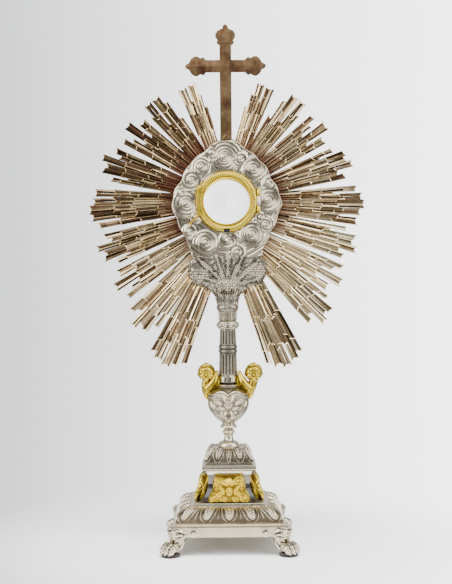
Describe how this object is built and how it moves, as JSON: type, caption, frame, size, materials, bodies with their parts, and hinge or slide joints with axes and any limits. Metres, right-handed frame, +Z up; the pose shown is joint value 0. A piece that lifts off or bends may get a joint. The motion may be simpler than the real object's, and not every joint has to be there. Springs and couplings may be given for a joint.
{
  "type": "monstrance",
  "caption": "Silver and gilt altar monstrance with a square footed base, turned stem, sunburst glory and a glazed round lunette with a hinged door.",
  "frame": {"origin": "on the floor, centred under the stem", "axes": "+Z up; the hinged door and latch face -Y; +X to the right seen from the door side"},
  "size_m": [0.4251, 0.2, 0.8],
  "materials": {
    "silver": "silver plated, polished, dark in the hollows",
    "dark_silver": "silver plated, oxidised grey on the cavetto",
    "gilt": "gilded, satin to bright",
    "ray_brass": "pale lacquered brass with brown tarnish near the root",
    "cross_brass": "tarnished brown brass",
    "steel": "plain drawn rod",
    "pad": "dark felt-faced disc",
    "black": "matt black block",
    "glass": "clear flat glass"
  },
  "bodies": {
    "stand": {"foot_pad_door_left": "pad", "paw_foot_door_left": "silver", "foot_pad_door_right": "pad", "paw_foot_door_right": "silver", "foot_pad_front_left": "pad", "paw_foot_front_left": "silver", "foot_pad_front_right": "pad", "paw_foot_front_right": "silver", "cartouche_door_side": "gilt", "cartouche_right_side": "gilt", "cartouche_front_side": "gilt", "cartouche_left_side": "gilt", "base_plinth": "silver", "base_cap": "silver", "stem_foot": "silver", "knop_urn": "silver", "stem_column": "silver", "stem_ring": "silver", "capital": "silver", "clouds_door_side": "silver", "clouds_front_side": "silver", "spray_door_side": "silver", "spray_front_side": "silver", "base_pedestal": "dark_silver", "cherub_left": "gilt", "cherub_right": "gilt", "lunette_case": "gilt", "front_bezel": "gilt", "hinge_pin": "gilt", "tie_rod": "steel", "tie_rod_nut": "steel", "glory_strap": "steel", "ray_right_1": "ray_brass", "ray_right_2": "ray_brass", "ray_right_3": "ray_brass", "ray_right_4": "ray_brass", "ray_right_5": "ray_brass", "ray_right_6": "ray_brass", "ray_right_7": "ray_brass", "ray_right_8": "ray_brass", "ray_right_9": "ray_brass", "ray_left_1": "ray_brass", "ray_left_2": "ray_brass", "ray_left_3": "ray_brass", "ray_left_4": "ray_brass", "ray_left_5": "ray_brass", "ray_left_6": "ray_brass", "ray_left_7": "ray_brass", "ray_left_8": "ray_brass", "ray_left_9": "ray_brass", "cross": "cross_brass", "cross_screw": "cross_brass", "front_glass": "glass", "door_key_block": "black"},
    "door": {"door_ring": "gilt", "door_glass": "glass", "latch_screw": "gilt"},
    "latch": {"latch_arm": "gilt"},
    "luna": {"luna_ring": "gilt", "luna_glass": "glass"}
  },
  "joints": [
    {"name": "door_hinge", "type": "hinge", "parent": "stand", "child": "door", "pos_m": [0.0489, -0.014, 0.5251], "axis": [0, 0, 1], "range_deg": [0, 110]},
    {"name": "latch_turn", "type": "hinge", "parent": "door", "child": "latch", "pos_m": [-0.04, -0.0173, 0.5436], "axis": [0, 1, 0], "range_deg": [0, 60]},
    {"name": "luna_slide", "type": "slide", "parent": "stand", "child": "luna", "axis": [0, -1, 0], "range_m": [0, 0.008]}
  ]
}
